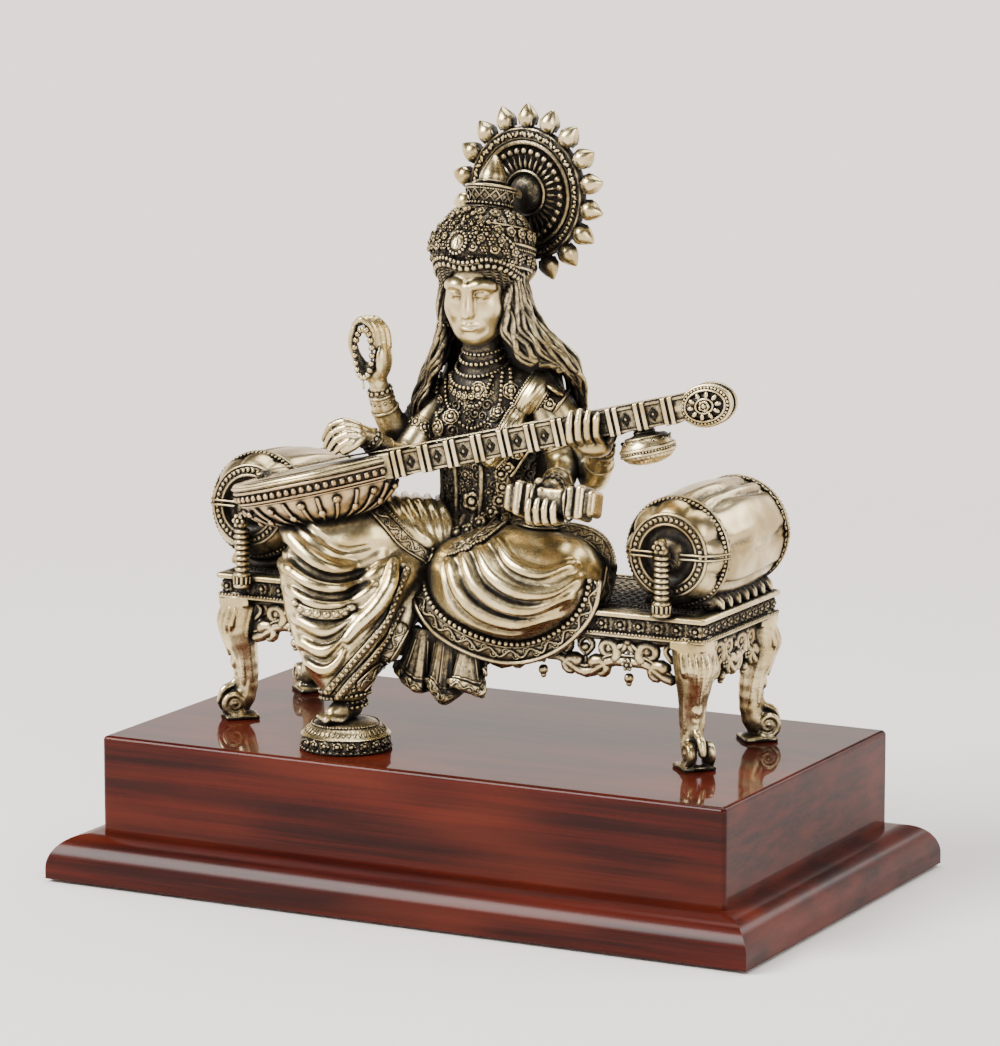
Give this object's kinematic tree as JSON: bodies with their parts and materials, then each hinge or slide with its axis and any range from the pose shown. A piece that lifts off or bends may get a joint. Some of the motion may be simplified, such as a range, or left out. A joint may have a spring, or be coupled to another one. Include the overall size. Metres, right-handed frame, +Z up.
{
  "type": "seated deity figurine on a plinth",
  "caption": "Antique brass figurine of a goddess seated on a carved bench playing a veena, with side bolsters and a sun-ray halo, on a moulded wooden plinth.",
  "frame": {"origin": "centre of the plinth's underside", "axes": "+Z up, +X along the bench's long side towards the end of the lute's neck, the goddess faces -Y"},
  "size_m": [0.191, 0.117, 0.1912],
  "materials": {
    "brass_ornament": "antique finish: bright high points over blackened recesses",
    "felt": "dark felt",
    "brass_bench": "antique finish: bright high points over blackened recesses",
    "brass_bolster": "antique finish: bright high points over blackened recesses",
    "brass_skin": "burnished skin, dark in the creases",
    "brass_crown": "antique finish: bright high points over blackened recesses",
    "screws": "zinc plated",
    "brass_hair": "antique finish: bright high points over blackened recesses",
    "brass_cloth": "burnished smooth folds with dark recesses",
    "brass_instrument": "antique finish: bright high points over blackened recesses",
    "plinth_block": "mahogany-red stain under gloss lacquer",
    "plinth_board": "mahogany-red stain under gloss lacquer",
    "brass_mat": "antique finish: bright high points over blackened recesses"
  },
  "bodies": {
    "root": {"anklet": "brass_ornament", "bangles": "brass_ornament", "base_felt": "felt", "bench_apron_back": "brass_bench", "bench_apron_front": "brass_bench", "bench_apron_left": "brass_bench", "bench_apron_right": "brass_bench", "bench_leg_back_left": "brass_bench", "bench_leg_back_right": "brass_bench", "bench_leg_front_left": "brass_bench", "bench_leg_front_right": "brass_bench", "bench_seat": "brass_bench", "bolster_cradle_left": "brass_bolster", "bolster_cradle_right": "brass_bolster", "bolster_left": "brass_bolster", "bolster_right": "brass_bolster", "bolster_tassel_left_back": "brass_bolster", "bolster_tassel_left_front": "brass_bolster", "bolster_tassel_right_back": "brass_bolster", "bolster_tassel_right_front": "brass_bolster", "book_arm": "brass_skin", "book_hand": "brass_skin", "crown": "brass_crown", "earrings": "brass_ornament", "fixing_screws": "screws", "foot_stool": "brass_ornament", "fretting_arm": "brass_skin", "fretting_hand": "brass_skin", "hair": "brass_hair", "halo": "brass_crown", "halo_boss": "brass_crown", "halo_pin": "brass_crown", "head": "brass_skin", "hem_fan": "brass_cloth", "lap_drape": "brass_cloth", "left_leg_drape": "brass_cloth", "long_garland": "brass_ornament", "necklace": "brass_ornament", "palm_leaf_book": "brass_instrument", "plinth_block": "plinth_block", "plinth_board": "plinth_board", "plucking_arm": "brass_skin", "plucking_hand": "brass_skin", "prayer_beads": "brass_ornament", "raised_arm": "brass_skin", "raised_hand": "brass_skin", "right_foot": "brass_skin", "right_leg_drape": "brass_cloth", "seat_mat": "brass_mat", "short_garland": "brass_ornament", "shoulder_sash": "brass_cloth", "torso": "brass_skin", "veena_bowl": "brass_instrument", "veena_frets": "brass_instrument", "veena_gourd": "brass_instrument", "veena_neck": "brass_instrument", "veena_pegbox": "brass_instrument", "veena_soundboard": "brass_instrument"}
  },
  "joints": []
}
